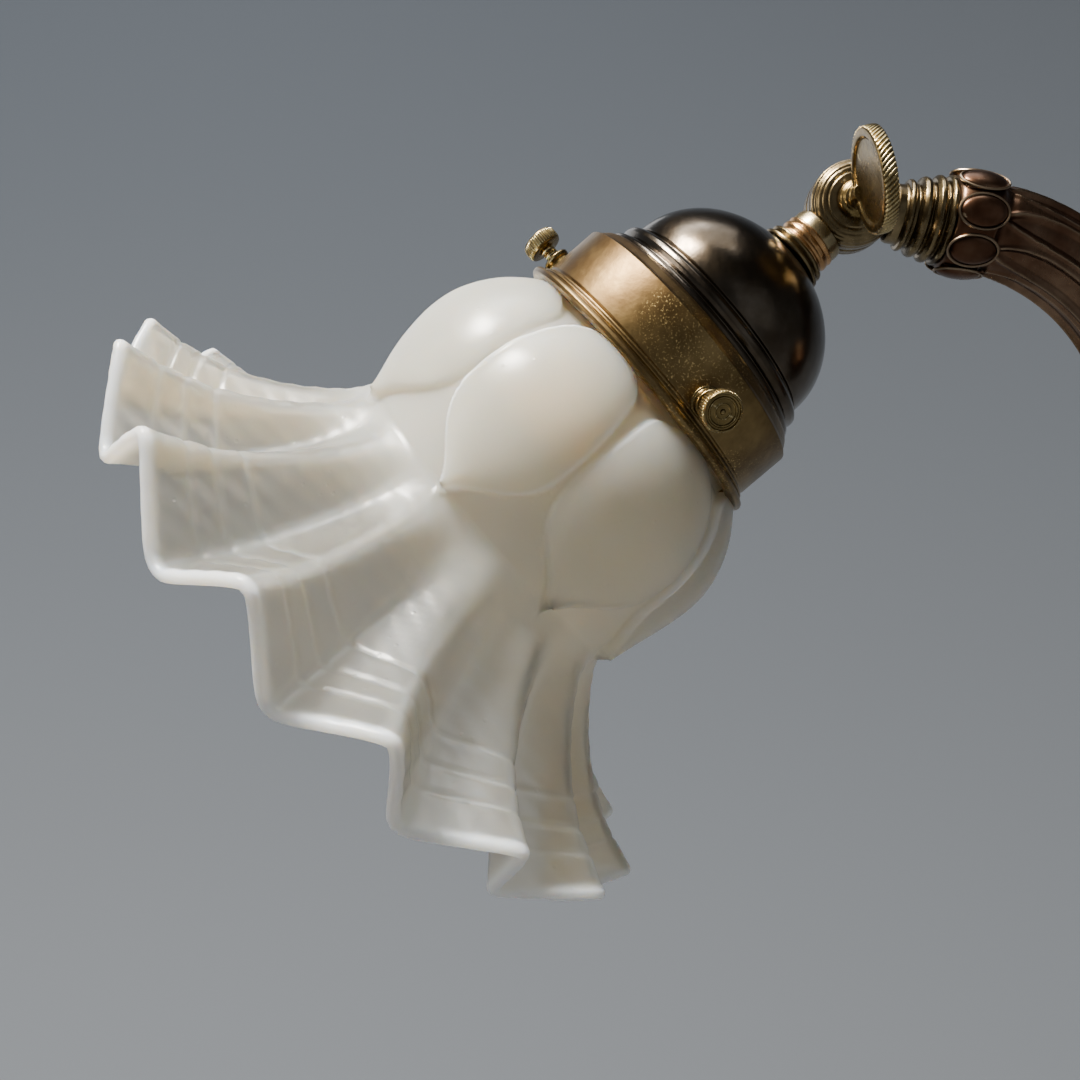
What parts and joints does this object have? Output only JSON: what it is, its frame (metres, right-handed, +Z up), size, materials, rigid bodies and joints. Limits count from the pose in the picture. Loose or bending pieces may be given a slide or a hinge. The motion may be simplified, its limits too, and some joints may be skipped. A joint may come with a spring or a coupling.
{
  "type": "swing arm wall sconce",
  "caption": "Wall lamp with a cast S-shaped arm on a vertical swivel, a clamped knuckle joint, and a frilled satin glass shade held in a brass gallery by thumbscrews.",
  "frame": {"origin": "centre of the wall plate's back face, on the axis of its ring of screw holes", "axes": "+Y into the wall, +Z up, the lamp reaches out along -Y; the tilt axis of the head is parallel to X"},
  "size_m": [0.1575, 0.3295, 0.1698],
  "materials": {
    "dark_bronze": "dark polished patina",
    "aged_brass": "worn antique brass",
    "copper_gold": "warm worn brass",
    "olive_brass": "old unlacquered brass",
    "arm_patina": "red-brown patina, rubbed bright on the high spots",
    "pale_brass": "bare milled brass",
    "satin_glass": "acid-etched satin glass",
    "porcelain": "glazed white",
    "plated_steel": "zinc plated",
    "wire_sheath": "flexible sheath",
    "block_plastic": "moulded"
  },
  "bodies": {
    "wall_mount": {"wall_plate": "arm_patina", "bracket": "arm_patina", "bracket_washer": "plated_steel", "bracket_nut": "plated_steel", "earth_screw": "pale_brass", "terminal_block": "block_plastic", "terminal_screws": "plated_steel", "plate_leads": "wire_sheath", "swivel_pin": "olive_brass", "upper_finial": "olive_brass", "lower_finial": "olive_brass"},
    "arm": {"swivel_barrel": "arm_patina", "thrust_washers": "pale_brass", "arm": "arm_patina", "arm_flex": "wire_sheath", "knuckle_arm_half": "olive_brass", "friction_washer": "pale_brass", "knuckle_nut": "olive_brass"},
    "head": {"knuckle_head_half": "olive_brass", "screw_collar": "pale_brass", "neck": "copper_gold", "lock_ring": "copper_gold", "nipple": "pale_brass", "dome": "dark_bronze", "gallery": "aged_brass", "screw_bosses": "pale_brass", "holder_nut": "pale_brass", "holder_cap": "aged_brass", "holder_shell": "aged_brass", "holder_core": "porcelain", "holder_sleeve": "porcelain", "lamp_thread_shell": "pale_brass", "centre_contact": "pale_brass", "holder_screws": "pale_brass", "head_leads": "wire_sheath", "glass_shade": "satin_glass"},
    "knuckle_screw": {"knuckle_screw": "pale_brass"},
    "shade_screw_1": {"shade_screw_1": "pale_brass"},
    "shade_screw_2": {"shade_screw_2": "pale_brass"},
    "shade_screw_3": {"shade_screw_3": "pale_brass"}
  },
  "joints": [
    {"name": "arm_swing", "type": "hinge", "parent": "wall_mount", "child": "arm", "pos_m": [0, -0.046, 0], "axis": [0, 0, 1], "range_deg": [-80, 80]},
    {"name": "head_tilt", "type": "hinge", "parent": "arm", "child": "head", "pos_m": [0, -0.17508, 0.1093], "axis": [1, 0, 0], "range_deg": [-60, 30]},
    {"name": "knuckle_screw_turn", "type": "hinge", "parent": "arm", "child": "knuckle_screw", "pos_m": [0, -0.17508, 0.1093], "axis": [1, 0, 0], "range_deg": [0, 360]},
    {"name": "shade_screw_1_turn", "type": "hinge", "parent": "head", "child": "shade_screw_1", "pos_m": [0.02939, -0.20859, 0.06507], "axis": [0.9272, 0.2433, -0.2849], "range_deg": [0, 720]},
    {"name": "shade_screw_2_turn", "type": "hinge", "parent": "head", "child": "shade_screw_2", "pos_m": [-0.00441, -0.23669, 0.09797], "axis": [-0.1392, -0.6431, 0.753], "range_deg": [0, 720]},
    {"name": "shade_screw_3_turn", "type": "hinge", "parent": "head", "child": "shade_screw_3", "pos_m": [-0.02498, -0.20362, 0.05926], "axis": [-0.788, 0.3998, -0.4682], "range_deg": [0, 720]}
  ]
}
